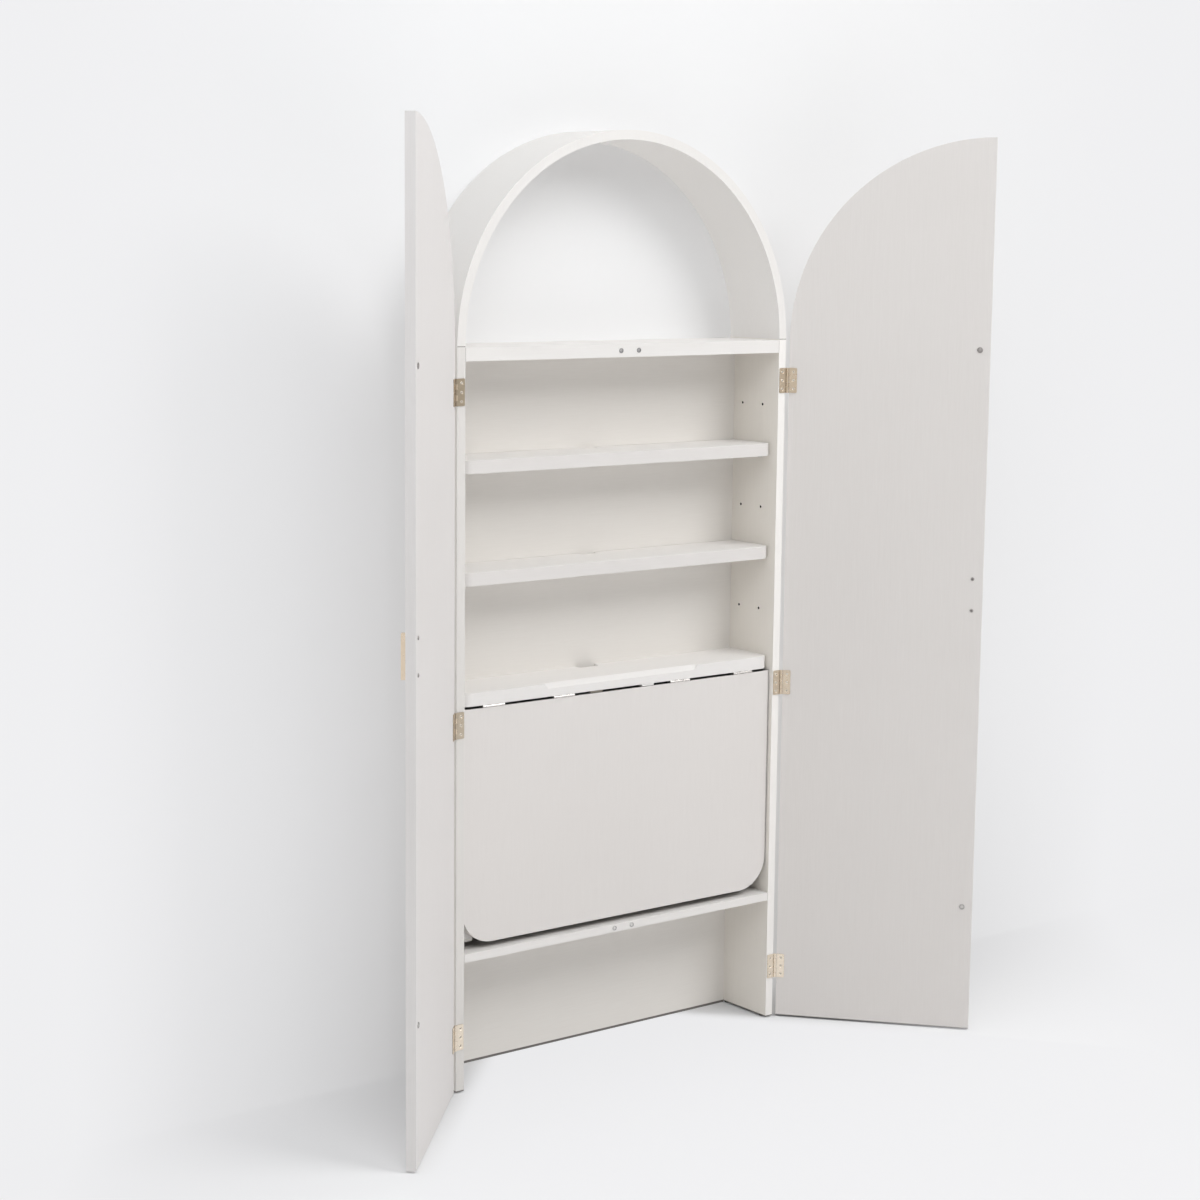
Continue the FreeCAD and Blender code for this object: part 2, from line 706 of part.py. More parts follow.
save("shelf_dowels", group(both_sides(shelf_dowels())))
save("arch_dowels", group(both_sides(arch_dowels())))
save("back_screws", group(back_screws()))
save("magnet_catches", group(both_sides(magnets())))
frame_leaves = group(at_door_hinges(hinge_leaf(DOOR_HINGE, 0)))
save("right_frame_hinge_leaves", frame_leaves)
save("left_frame_hinge_leaves", mirrored(frame_leaves))
frame_screws = spread(at_door_hinges, leaf_screws(DOOR_HINGE))
save("frame_hinge_screws", group(both_sides(frame_screws)))
save("shelf_hinge_leaves", group(at_flap_hinges(hinge_leaf(FLAP_HINGE, 0))))
save("shelf_hinge_screws", group(spread(at_flap_hinges, leaf_screws(FLAP_HINGE))))
save("gap_blocks", group(both_sides([gap_block()])))
save("prop_rest_pads", group(both_sides([rest_pad()])))

# Door nodes, swung open as far as they stand at rest
right_axis = V(DOOR_AXIS_X, DOOR_AXIS_Y, 0)
left_axis = V(-DOOR_AXIS_X, DOOR_AXIS_Y, 0)
for ending, piece in door_pieces().items():
    save("right_" + ending, turned(piece, right_axis, Z_AXIS, RIGHT_DOOR_ANGLE))
    save("left_" + ending, turned(mirrored(piece), left_axis, Z_AXIS, -LEFT_DOOR_ANGLE))

# Flap and prop nodes
save("desk_flap", flap())
save("flap_hinge_leaves", group(at_flap_hinges(moving(hinge_leaf(FLAP_HINGE, 1)))))
save("flap_hinge_pins", group(at_flap_hinges(hinge_pin(FLAP_HINGE))))
flap_screws = [moving(piece) for piece in leaf_screws(FLAP_HINGE)]
save("flap_hinge_screws", group(spread(at_flap_hinges, flap_screws)))
save("prop_bracket_screws", group(both_sides(bracket_screws())))
save("prop_pins", group(both_sides([prop_pin()])))
for ending, piece in (
    ("prop_bracket", prop_bracket()),
    ("prop_arm", prop_arm()),
    ("prop_foot", prop_foot()),
):
    save("right_" + ending, piece)
    save("left_" + ending, mirrored(piece))
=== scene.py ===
import json
import math

import bmesh
import bpy
import numpy as np
from mathutils import Matrix, Vector

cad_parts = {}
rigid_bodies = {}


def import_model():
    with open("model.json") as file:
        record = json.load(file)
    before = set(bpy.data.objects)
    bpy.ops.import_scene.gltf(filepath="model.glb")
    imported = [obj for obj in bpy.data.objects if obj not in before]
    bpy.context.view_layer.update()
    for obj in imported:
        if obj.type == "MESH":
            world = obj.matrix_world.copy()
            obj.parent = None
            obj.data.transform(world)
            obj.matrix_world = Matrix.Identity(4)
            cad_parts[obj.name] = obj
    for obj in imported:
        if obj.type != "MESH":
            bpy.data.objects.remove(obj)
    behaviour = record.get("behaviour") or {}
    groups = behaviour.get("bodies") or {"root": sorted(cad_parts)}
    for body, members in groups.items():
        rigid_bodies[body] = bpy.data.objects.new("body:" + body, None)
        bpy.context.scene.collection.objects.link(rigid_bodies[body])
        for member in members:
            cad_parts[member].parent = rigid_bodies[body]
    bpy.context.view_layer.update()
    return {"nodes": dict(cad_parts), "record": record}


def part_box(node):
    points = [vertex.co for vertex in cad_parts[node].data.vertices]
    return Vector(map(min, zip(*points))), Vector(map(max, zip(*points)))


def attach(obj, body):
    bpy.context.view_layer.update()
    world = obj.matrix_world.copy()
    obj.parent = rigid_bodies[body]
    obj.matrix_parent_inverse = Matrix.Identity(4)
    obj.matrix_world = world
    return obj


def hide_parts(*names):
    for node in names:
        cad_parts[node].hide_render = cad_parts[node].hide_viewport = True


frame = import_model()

nodes = frame["nodes"]
record = frame["record"]
slot_of = {part["node"]: part["material_slot"] for part in record["subparts"]}
body_of = {node: body for body, held in record["behaviour"]["bodies"].items() for node in held}

# Camera of the photograph: place in metres, angles in degrees, lens in millimetres
CAMERA_PLACE = (-2.94712, -3.85377, 1.61398)
CAMERA_AZIMUTH = 37.873
CAMERA_DROP = 8.4265
CAMERA_ROLL = 0.6014
CAMERA_LENS = 74.02
CAMERA_SENSOR = 36.0

# Floor and wall: sizes in metres
STAGE_HALF_WIDTH = 7.0
STAGE_DEPTH = 9.0
STAGE_HEIGHT = 6.0
WALL_GAP = 0.001
BACKDROP_COLOUR = (0.872, 0.872, 0.886)
WALL_COLOUR = (0.83, 0.83, 0.833)
FLOOR_COLOUR = (0.93, 0.93, 0.933)

# Cove: how far from their meeting line floor and wall are shaded as if they curved, in metres, and
# how far the shading normal leans from upright there, on the floor and on the wall, in degrees
COVE_REACH = 1.0
COVE_LEAN = 52.0
FLOOR_LEAN = 0.0
WALL_LEAN = 90.0

# Glow: the share of the backdrop's plain colour in what is seen of it, and where it changes, in
# metres: along a slanting direction, before the doors and round the middle of the floor
NEAR_GLOW_SHARE = 0.05
FAR_GLOW_SHARE = 0.95
GLOW_ACROSS = (1.0, -0.78, 0.0)
GLOW_SHIFT = -0.25
GLOW_START = 0.45
GLOW_END = 1.36
FRONT_GLOW_SHARE = 0.85
FRONT_REACH = 0.06
ROUND_START = 0.95
ROUND_END = 1.70

# Light: places and sizes in metres, powers in watts
PLAIN_COLOUR = (1.0, 1.0, 1.0)
WORLD_COLOUR = (1.0, 0.992, 0.98)
WORLD_FRONT = 0.22
WORLD_BACK = 0.80
WORLD_BLEND = 0.2
KEY_PLACE = (1.915, -3.417, 4.114)
KEY_SIZE = 2.5
KEY_POWER = 113.0
FILL_PLACE = (-1.915, -3.417, 4.114)
FILL_SIZE = 2.5
FILL_POWER = 44.0
TOP_PLACE = (-1.6, -1.2, 3.4)
TOP_SIZE = 3.0
TOP_POWER = 28.0
TOP_COLOUR = (0.90, 0.95, 1.0)
CARD_PLACE = (0.1, -2.4, 0.35)
CARD_SIZE = 1.6
CARD_POWER = 1.8
LIGHT_AIM = (0.0, -0.1, 0.9)
CARD_AIM = (0.0, -0.1, 0.12)

# Rounding of edges: widths in metres, angles in degrees
BOARD_EDGE = 0.0007
BORED_EDGE = 0.0003
METAL_EDGE = 0.00025
EDGE_SEGMENTS = 2
WELD_DISTANCE = 1e-6
FLAT_ANGLE = 0.4
SHARP_ANGLE = 40.0
NORMAL_WEIGHT = 50

# Masks: noise values that count as none and all, a face's Y normal for front and not front, and
# the agreement of the true and the rounded normal on an edge and on a flat face
NOISE_LOW = 0.3
NOISE_HIGH = 0.7
FRONT_FULL = -0.9
FRONT_NONE = -0.6
EDGE_TURNED = 0.93
EDGE_FLAT = 0.998
EDGE_SAMPLES = 3
CREVICE_SAMPLES = 4

# Places of the colour sockets on a Mix node, whose names occur more than once
MIX_FIRST = 6
MIX_SECOND = 7
MIX_RESULT = 2

# In the materials below, a noise is its scale along the grain, its scale across it and its detail;
# a painted edge highlight is its reach from an edge in metres and the most; a painted crevice
# shade is its reach in metres, the most, and the openness from which it is shut and open; a bump
# is its strength and its distance

# Lacquer
LACQUER_FIBRE = (16.0, 800.0, 4.0)
LACQUER_BANDS = (3.0, 160.0, 2.0)
LACQUER_CLOUDS = (3.0, 3.0, 2.0)
LACQUER_PEEL = (1400.0, 1400.0, 1.0)
LACQUER_PALE = (0.797, 0.778, 0.757)
LACQUER_DEEP = (0.760, 0.739, 0.716)
LACQUER_LIGHT = (0.815, 0.797, 0.779)
# The lighter colour of the painted highlight along the edges
LACQUER_HIGHLIGHT = (0.86, 0.85, 0.835)
LACQUER_FIBRE_SHARE = 0.75
LACQUER_BAND_SHARE = 0.18
LACQUER_CLOUD_SHARE = 0.25
# Painted highlight along the edges
LACQUER_EDGE_HIGHLIGHT = (0.0016, 0.40)
LACQUER_ROUGHNESS = (0.50, 0.62)
LACQUER_SPECULAR = 0.30
LACQUER_FIBRE_BUMP = (0.10, 0.0001)
LACQUER_PEEL_BUMP = (0.06, 0.0001)

# Dark lines on the boards, in metres: dark joints, and painted shade on the edge at the floor, in
# holes and in gaps
SEAM_HALF_WIDTH = 0.0008
JOINT_AND_SHADOW_STRENGTH = 0.85
SEAM_COLOUR = (0.20, 0.18, 0.155)
FLOOR_SHADOW_LINE = 0.0045
FLOOR_SHADOW_COLOUR = (0.06, 0.05, 0.045)
BORE_RIM = 0.0001
HOLE_AND_GAP_SHADE = (0.010, 0.009, 0.008)
GAP_SHADE = (0.009, 0.99, 0.50, 0.64)

# Painted light and shade on single boards: lighter or darker copies of the one lacquer, all over
# or on front faces only, as shares of the lacquer's colour
LEFT_DOOR_PAINTED_SHADE = (0.963, 0.957, 0.970)
RIGHT_DOOR_PAINTED_SHADE = (0.930, 0.915, 0.912)
FLAP_PAINTED_SHADE = (0.920, 0.905, 0.903)
LEFT_SIDE_PAINTED_SHADE = (1.0, 0.995, 0.985)
LEFT_SIDE_FRONT_SHADE = (0.91, 0.91, 0.91)
RIGHT_SIDE_PAINTED_LIGHT = (1.045, 1.025, 0.98)
RIGHT_SIDE_FRONT_LIGHT = (1.06, 1.08, 1.125)
BACK_PAINTED_LIGHT = (1.03, 1.02, 1.0)
DESK_SHELF_PAINTED_LIGHT = (1.04, 1.04, 1.04)
DESK_SHELF_FRONT_SHADE = (0.96, 0.96, 0.965)
LOOSE_SHELF_FRONT_SHADE = (0.91, 0.90, 0.90)

# Blocks in the gap above the flap: the left one painted darker, as shade
BLOCK_FIBRE = (60.0, 900.0, 4.0)
SHADED_BLOCK_PALE = (0.25, 0.225, 0.19)
SHADED_BLOCK_DEEP = (0.19, 0.17, 0.14)
WHITE_PALE = (0.83, 0.82, 0.80)
WHITE_DEEP = (0.78, 0.77, 0.75)
BLOCK_SPLIT = 0.001
BLOCK_ROUGHNESS = (0.5, 0.62)
BLOCK_BUMP = (0.15, 0.0001)

# Metals: each is a pale colour, a deep colour and a roughness, some with the paler colour of a low
# end, which is painted light
BRASS = ((0.66, 0.55, 0.42), (0.55, 0.45, 0.33), 0.27)
# A darker copy of the brass: painted shade
SHADED_BRASS = ((0.44, 0.37, 0.275), (0.34, 0.275, 0.20), 0.30)
BAR_BRASS = ((0.82, 0.69, 0.54), (0.74, 0.61, 0.46), 0.30)
BRIGHT_SCREW = ((0.92, 0.84, 0.72), (0.80, 0.70, 0.57), 0.18)
NICKEL = ((0.84, 0.81, 0.78), (0.72, 0.69, 0.66), 0.25)
ZINC = ((0.46, 0.45, 0.44), (0.34, 0.33, 0.33), 0.34)
GREY_STEEL = ((0.40, 0.375, 0.36), (0.28, 0.26, 0.245), 0.36)
BRASS_LOW_LIGHT = (0.90, 0.80, 0.67)
ZINC_LOW_LIGHT = (0.80, 0.78, 0.76)
GREY_LOW_LIGHT = (0.66, 0.64, 0.62)
METAL_LINES = (80.0, 3500.0, 3.0)
METAL_TARNISH = (90.0, 90.0, 3.0)
METAL_TARNISH_SHARE = 0.6
METAL_LINE_SHARE = 0.3
# How much paler the low end is, between these heights in metres: painted light
METAL_LOW_LIGHT_SHARE = 0.9
METAL_LOW_HEIGHT = 0.15
METAL_HIGH_HEIGHT = 0.95
# Painted shade in joints and recesses
METAL_CREVICE_SHADE = (0.004, 0.95, 0.40, 0.80)
METAL_CREVICE_SHADE_SHARE = 0.15
# Painted highlight along the edges
METAL_EDGE_HIGHLIGHT = (0.0005, 0.6)
METAL_HIGHLIGHT_SHARE = 1.25
METAL_SMOOTHER = 0.05
METAL_ROUGHER = 0.08
METAL_BUMP = (0.10, 0.0001)

# Rubber: each is a pale and a deep colour
DARK_RUBBER = ((0.06, 0.06, 0.058), (0.02, 0.02, 0.02))
PALE_RUBBER = ((0.74, 0.72, 0.69), (0.66, 0.64, 0.61))
RUBBER_PEBBLE = (1600.0, 1600.0, 2.0)
RUBBER_DUST = (90.0, 90.0, 3.0)
RUBBER_ROUGHNESS = (0.62, 0.82)
RUBBER_BUMP = (0.35, 0.0002)

# Powder coat
COAT_PEEL = (700.0, 700.0, 2.0)
COAT_CLOUDS = (25.0, 25.0, 2.0)
COAT_PALE = (0.80, 0.79, 0.77)
COAT_DEEP = (0.75, 0.74, 0.715)
# The colour and reach of the painted highlight along the edges
COAT_HIGHLIGHT = (0.88, 0.87, 0.86)
COAT_EDGE_HIGHLIGHT = (0.001, 0.5)
COAT_ROUGHNESS = (0.34, 0.48)
COAT_BUMP = (0.18, 0.0002)

# Beech
BEECH_FIBRE = (40.0, 900.0, 4.0)
BEECH_FLECK = (160.0, 1600.0, 1.0)
BEECH_PALE = (0.58, 0.37, 0.20)
BEECH_DEEP = (0.46, 0.27, 0.13)
BEECH_DARK = (0.33, 0.18, 0.08)
BEECH_FLECK_SHARE = 0.6
BEECH_FLECK_START = 0.55
BEECH_FLECK_END = 0.75
BEECH_ROUGHNESS = (0.5, 0.66)
BEECH_BUMP = (0.3, 0.0002)

# Reading the turned solids: what counts as widest, as an end and as equal places
WIDEST_SHARE = 0.98
END_SHARE = 0.1
PLACE_DIGITS = 5

# Screw heads and discs, as shares of the head's radius; a profile's points are radius and depth,
# and the depths of a pan head are shares of its height
RING_STEPS = 32
HEAD_SHARE = 0.85
HEAD_RIM_SHARE = 0.10
HEAD_SUNK_SHARE = 0.06
TIP_SHARE = 0.9
CROSS_ARM_SHARE = 0.62
CROSS_HALF_WIDTH_SHARE = 0.15
CROSS_DEPTH_SHARE = 0.42
CROSS_TAPER_SHARE = 0.72
PAN_HEIGHT_SHARE = 0.5
PAN_PROFILE = ((0.70, 0.0), (0.90, 0.16), (1.0, 0.45), (1.0, 1.0))
DISC_MIDDLE = ((0.10, 0.02), (0.45, 0.05), (0.66, 0.09))
DISC_GROOVE = ((0.70, 0.20), (0.76, 0.20))
DISC_RIM = ((0.79, 0.0), (0.94, 0.0), (1.0, 0.06))
DISC_THICKNESS_SHARE = 0.25
DISC_NAIL_SHARE = 0.9


def clear_defaults():
    """Removes the lamps and cameras that the start-up file holds."""
    for obj in list(bpy.data.objects):
        if obj.type in {"LIGHT", "CAMERA"}:
            bpy.data.objects.remove(obj)


def new_material(name):
    """A material, its node tree and its shader."""
    mat = bpy.data.materials.new(name)
    mat.use_nodes = True
    return mat, mat.node_tree, mat.node_tree.nodes["Principled BSDF"]


def wire(tree, shader, colour, roughness, normal):
    """Links a material's colour, roughness and normal to its shader."""
    for name, value in (("Base Color", colour), ("Roughness", roughness), ("Normal", normal)):
        tree.links.new(value, shader.inputs[name])


def noise(tree, pattern, grain="x"):
    """A noise value from 0 to 1, in object coordinates, with its grain along one axis."""
    along_grain, across_grain, detail = pattern
    source = tree.nodes.new("ShaderNodeTexCoord")
    mapping = tree.nodes.new("ShaderNodeMapping")
    stretch = tuple(along_grain if axis == grain else across_grain for axis in "xyz")
    mapping.inputs["Scale"].default_value = stretch
    node = tree.nodes.new("ShaderNodeTexNoise")
    node.inputs["Scale"].default_value = 1.0
    node.inputs["Detail"].default_value = detail
    tree.links.new(source.outputs["Object"], mapping.inputs["Vector"])
    tree.links.new(mapping.outputs["Vector"], node.inputs["Vector"])
    return node.outputs["Fac"]


def ranged(tree, value, low, high, start=NOISE_LOW, end=NOISE_HIGH, smooth=False):
    """The value from start to end mapped to low to high."""
    node = tree.nodes.new("ShaderNodeMapRange")
    node.interpolation_type = "SMOOTHSTEP" if smooth else "LINEAR"
    node.inputs["From Min"].default_value = start
    node.inputs["From Max"].default_value = end
    node.inputs["To Min"].default_value = low
    node.inputs["To Max"].default_value = high
    tree.links.new(value, node.inputs["Value"])
    return node.outputs["Result"]


def blended(tree, factor, first, second, how="MIX"):
    """A colour between first and second, or between first and their product with MULTIPLY."""
    node = tree.nodes.new("ShaderNodeMix")
    node.data_type = "RGBA"
    node.blend_type = how
    tree.links.new(factor, node.inputs["Factor"])
    for value, socket in ((first, node.inputs[MIX_FIRST]), (second, node.inputs[MIX_SECOND])):
        if isinstance(value, tuple):
            socket.default_value = (*value, 1.0)
        else:
            tree.links.new(value, socket)
    return node.outputs[MIX_RESULT]


def bumped(tree, height, strength, distance, before=None):
    """A normal from a height, on top of an earlier bump if one is given."""
    node = tree.nodes.new("ShaderNodeBump")
    node.inputs["Strength"].default_value = strength
    node.inputs["Distance"].default_value = distance
    tree.links.new(height, node.inputs["Height"])
    if before:
        tree.links.new(before, node.inputs["Normal"])
    return node.outputs["Normal"]


def calculated(tree, operation, *values):
    """A Math node's result, each input a number or a socket."""
    node = tree.nodes.new("ShaderNodeMath")
    node.operation = operation
    for value, socket in zip(values, node.inputs):
        if isinstance(value, (int, float)):
            socket.default_value = value
        else:
            tree.links.new(value, socket)
    return node.outputs["Value"]


def mixed_shader(tree, factor, first, second):
    """A shader between first and second."""
    node = tree.nodes.new("ShaderNodeMixShader")
    for value, socket in zip((factor, first, second), node.inputs):
        tree.links.new(value, socket)
    return node.outputs["Shader"]


def scaled(colour, share):
    """A colour times a share, no lighter than white."""
    return tuple(min(1.0, share * c) for c in colour)


def tinted(colour, painted_light_and_shade):
    """A colour times a share for each channel."""
    return tuple(t * c for t, c in zip(painted_light_and_shade, colour))


def axis_value(tree, axis, facing=False):
    """One axis of the place on the object, or of the face's normal."""
    source = tree.nodes.new("ShaderNodeNewGeometry" if facing else "ShaderNodeTexCoord")
    axes = tree.nodes.new("ShaderNodeSeparateXYZ")
    output = source.outputs["Normal" if facing else "Object"]
    tree.links.new(output, axes.inputs["Vector"])
    return axes.outputs[axis]


def along(tree, direction):
    """How far the place on the object lies along a direction."""
    source = tree.nodes.new("ShaderNodeTexCoord")
    node = tree.nodes.new("ShaderNodeVectorMath")
    node.operation = "DOT_PRODUCT"
    node.inputs[1].default_value = direction
    tree.links.new(source.outputs["Object"], node.inputs[0])
    return node.outputs["Value"]


def edge_highlight_mask(tree, reach, most):
    """most along the edges and 0 on flat faces, for painting highlights on the edges."""
    bevel = tree.nodes.new("ShaderNodeBevel")
    bevel.samples = EDGE_SAMPLES
    bevel.inputs["Radius"].default_value = reach
    geometry = tree.nodes.new("ShaderNodeNewGeometry")
    dot = tree.nodes.new("ShaderNodeVectorMath")
    dot.operation = "DOT_PRODUCT"
    tree.links.new(bevel.outputs["Normal"], dot.inputs[0])
    tree.links.new(geometry.outputs["Normal"], dot.inputs[1])
    return ranged(tree, dot.outputs["Value"], most, 0.0, EDGE_TURNED, EDGE_FLAT)


def crevice_shade_mask(tree, reach, most, shut_from, open_from):
    """most in tight inner corners and 0 in the open, for painting shade there."""
    occlusion = tree.nodes.new("ShaderNodeAmbientOcclusion")
    occlusion.samples = CREVICE_SAMPLES
    occlusion.inputs["Distance"].default_value = reach
    return ranged(tree, occlusion.outputs["AO"], most, 0.0, shut_from, open_from)


def front_mask(tree):
    """1 on faces that look to the front and 0 elsewhere."""
    return ranged(tree, axis_value(tree, "Y", True), 1.0, 0.0, FRONT_FULL, FRONT_NONE)


def line_mask(tree, axis, place, reach):
    """1 within reach of a place on an axis, on either side of the middle, and 0 elsewhere."""
    away = calculated(tree, "ABSOLUTE", axis_value(tree, axis))
    return calculated(tree, "COMPARE", away, place, reach)


def seam_mask(tree, axis, place):
    """JOINT_AND_SHADOW_STRENGTH along a joint on front faces and 0 elsewhere."""
    line = line_mask(tree, axis, place, SEAM_HALF_WIDTH)
    line = calculated(tree, "MULTIPLY", line, front_mask(tree))
    return calculated(tree, "MULTIPLY", line, JOINT_AND_SHADOW_STRENGTH)


def ground_mask(tree):
    """The dark lines' strength on the lowest edge, a painted shadow where the board meets the
    floor, and 0 above it.
    """
    end = FLOOR_SHADOW_LINE + SEAM_HALF_WIDTH
    return ranged(tree, axis_value(tree, "Z"), JOINT_AND_SHADOW_STRENGTH, 0.0, FLOOR_SHADOW_LINE, end)


def hole_shade_mask(tree, node):
    """1 inside a side board, which only its holes show, and 0 on its outside: where shade is
    painted into the holes.
    """
    low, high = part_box(node)
    masks = []
    for axis, first, last in (("X", low[0], high[0]), ("Y", low[1], high[1])):
        half = (last - first) / 2
        masks.append(line_mask(tree, axis, abs(first + last) / 2, half - BORE_RIM))
    return calculated(tree, "MULTIPLY", *masks)


def dark_lines(tree, colour, seam=None, ground=False, bored=None, gaps=False):
    """A board's colour with its dark joint lines, and painted shade on the edge at the floor, in
    its holes and in its gaps.
    """
    if seam:
        colour = blended(tree, seam_mask(tree, *seam), colour, SEAM_COLOUR)
    # Near-black on the lowest edge: painted shadow where the board meets the floor.
    if ground:
        colour = blended(tree, ground_mask(tree), colour, FLOOR_SHADOW_COLOUR)
    # Near-black inside the shelf-pin holes: painted shade.
    if bored:
        colour = blended(tree, hole_shade_mask(tree, bored), colour, HOLE_AND_GAP_SHADE)
    # Near-black in tight gaps found by occlusion, as in the slot above the flap: painted shade.
    if gaps:
        colour = blended(tree, crevice_shade_mask(tree, *GAP_SHADE), colour, HOLE_AND_GAP_SHADE)
    return colour


def lacquer(name, grain, painted_light_and_shade=PLAIN_COLOUR, front=None, **lines):
    """Off-white lacquered board: fine grain along one axis, painted edge highlights, dark joints
    and painted shade.
    """
    mat, tree, shader = new_material(name)
    fibre = noise(tree, LACQUER_FIBRE, grain)
    bands = noise(tree, LACQUER_BANDS, grain)
    clouds = noise(tree, LACQUER_CLOUDS)
    peel = noise(tree, LACQUER_PEEL)
    # This board's lacquer made lighter or darker all over: painted light or shade.
    pale, deep = tinted(LACQUER_PALE, painted_light_and_shade), tinted(LACQUER_DEEP, painted_light_and_shade)
    light = tinted(LACQUER_LIGHT, painted_light_and_shade)
    colour = blended(tree, ranged(tree, fibre, 0.0, LACQUER_FIBRE_SHARE), pale, deep)
    colour = blended(tree, ranged(tree, bands, 0.0, LACQUER_BAND_SHARE), colour, deep)
    colour = blended(tree, ranged(tree, clouds, 0.0, LACQUER_CLOUD_SHARE), colour, light)
    # Front faces only made lighter or darker: painted light or shade.
    if front:
        colour = blended(tree, front_mask(tree), colour, front, "MULTIPLY")
    # Lighter along the edges: painted highlight.
    colour = blended(tree, edge_highlight_mask(tree, *LACQUER_EDGE_HIGHLIGHT), colour, LACQUER_HIGHLIGHT)
    colour = dark_lines(tree, colour, **lines)
    shader.inputs["Specular IOR Level"].default_value = LACQUER_SPECULAR
    normal = bumped(tree, fibre, *LACQUER_FIBRE_BUMP)
    normal = bumped(tree, peel, *LACQUER_PEEL_BUMP, normal)
    wire(tree, shader, colour, ranged(tree, clouds, *LACQUER_ROUGHNESS), normal)
    return mat


def two_blocks(name):
    """The left block painted darker, as shade, and the white one on the right."""
    mat, tree, shader = new_material(name)
    fibre = noise(tree, BLOCK_FIBRE)
    # The left block's darker colour is painted shade; the right one is white.
    shaded_block = blended(tree, fibre, SHADED_BLOCK_PALE, SHADED_BLOCK_DEEP)
    white = blended(tree, fibre, WHITE_PALE, WHITE_DEEP)
    right = ranged(tree, axis_value(tree, "X"), 0.0, 1.0, -BLOCK_SPLIT, BLOCK_SPLIT)
    colour = blended(tree, right, shaded_block, white)
    roughness = ranged(tree, fibre, *BLOCK_ROUGHNESS)
    wire(tree, shader, colour, roughness, bumped(tree, fibre, *BLOCK_BUMP))
    return mat


def metal(name, pale, deep, rough, brush="z", low=None):
    """Plated metal: brushed grain, slight tarnish, painted shade in joints, painted highlights on
    edges and painted light on a paler low end.
    """
    mat, tree, shader = new_material(name)
    lines = noise(tree, METAL_LINES, brush)
    tarnish = noise(tree, METAL_TARNISH)
    colour = blended(tree, ranged(tree, tarnish, 0.0, METAL_TARNISH_SHARE), pale, deep)
    colour = blended(tree, ranged(tree, lines, 0.0, METAL_LINE_SHARE), colour, deep)
    # Paler towards the low end: painted light.
    if low:
        height = axis_value(tree, "Z")
        end = ranged(tree, height, METAL_LOW_LIGHT_SHARE, 0.0, METAL_LOW_HEIGHT, METAL_HIGH_HEIGHT)
        colour = blended(tree, end, colour, low)
    # Darker in joints and recesses: painted shade.
    joints = crevice_shade_mask(tree, *METAL_CREVICE_SHADE)
    colour = blended(tree, joints, colour, scaled(deep, METAL_CREVICE_SHADE_SHARE))
    # Paler along the edges: painted highlight.
    edges = edge_highlight_mask(tree, *METAL_EDGE_HIGHLIGHT)
    colour = blended(tree, edges, colour, scaled(pale, METAL_HIGHLIGHT_SHARE))
    shader.inputs["Metallic"].default_value = 1.0
    roughness = ranged(tree, tarnish, rough - METAL_SMOOTHER, rough + METAL_ROUGHER)
    wire(tree, shader, colour, roughness, bumped(tree, lines, *METAL_BUMP))
    return mat


def rubber(name, pale, deep):
    """Matt rubber with a fine pebbled skin and a dusty bloom."""
    mat, tree, shader = new_material(name)
    pebble = noise(tree, RUBBER_PEBBLE)
    dust = noise(tree, RUBBER_DUST)
    colour = blended(tree, ranged(tree, dust, 0.0, 1.0), deep, pale)
    roughness = ranged(tree, dust, *RUBBER_ROUGHNESS)
    wire(tree, shader, colour, roughness, bumped(tree, pebble, *RUBBER_BUMP))
    return mat


def powder_coat(name):
    """White powder-coated metal with an orange-peel skin and painted highlights on its edges."""
    mat, tree, shader = new_material(name)
    peel = noise(tree, COAT_PEEL)
    clouds = noise(tree, COAT_CLOUDS)
    colour = blended(tree, ranged(tree, clouds, 0.0, 1.0), COAT_PALE, COAT_DEEP)
    # Lighter along the edges: painted highlight.
    colour = blended(tree, edge_highlight_mask(tree, *COAT_EDGE_HIGHLIGHT), colour, COAT_HIGHLIGHT)
    roughness = ranged(tree, peel, *COAT_ROUGHNESS)
    wire(tree, shader, colour, roughness, bumped(tree, peel, *COAT_BUMP))
    return mat


def beech(name):
    """Plain beech with short flecks along X."""
    mat, tree, shader = new_material(name)
    fibre = noise(tree, BEECH_FIBRE)
    fleck = noise(tree, BEECH_FLECK)
    flecks = ranged(tree, fleck, 0.0, BEECH_FLECK_SHARE, BEECH_FLECK_START, BEECH_FLECK_END)
    colour = blended(tree, fibre, BEECH_PALE, BEECH_DEEP)
    colour = blended(tree, flecks, colour, BEECH_DARK)
    roughness = ranged(tree, fibre, *BEECH_ROUGHNESS)
    wire(tree, shader, colour, roughness, bumped(tree, fibre, *BEECH_BUMP))
    return mat


def paint(obj, mat):
    """Gives every material slot of an object the same material."""
    for slot in obj.material_slots:
        slot.material = mat


def soften(obj, width):
    """Rounds an object's sharp edges with modifiers and leaves its mesh as it is."""
    weld = obj.modifiers.new("weld", "WELD")
    weld.merge_threshold = WELD_DISTANCE
    flat = obj.modifiers.new("flat", "DECIMATE")
    flat.decimate_type = "DISSOLVE"
    flat.angle_limit = math.radians(FLAT_ANGLE)
    bevel = obj.modifiers.new("edges", "BEVEL")
    bevel.width = width
    bevel.segments = EDGE_SEGMENTS
    bevel.limit_method = "ANGLE"
    bevel.angle_limit = math.radians(SHARP_ANGLE)
    normals = obj.modifiers.new("normals", "WEIGHTED_NORMAL")
    normals.mode = "FACE_AREA"
    normals.weight = NORMAL_WEIGHT


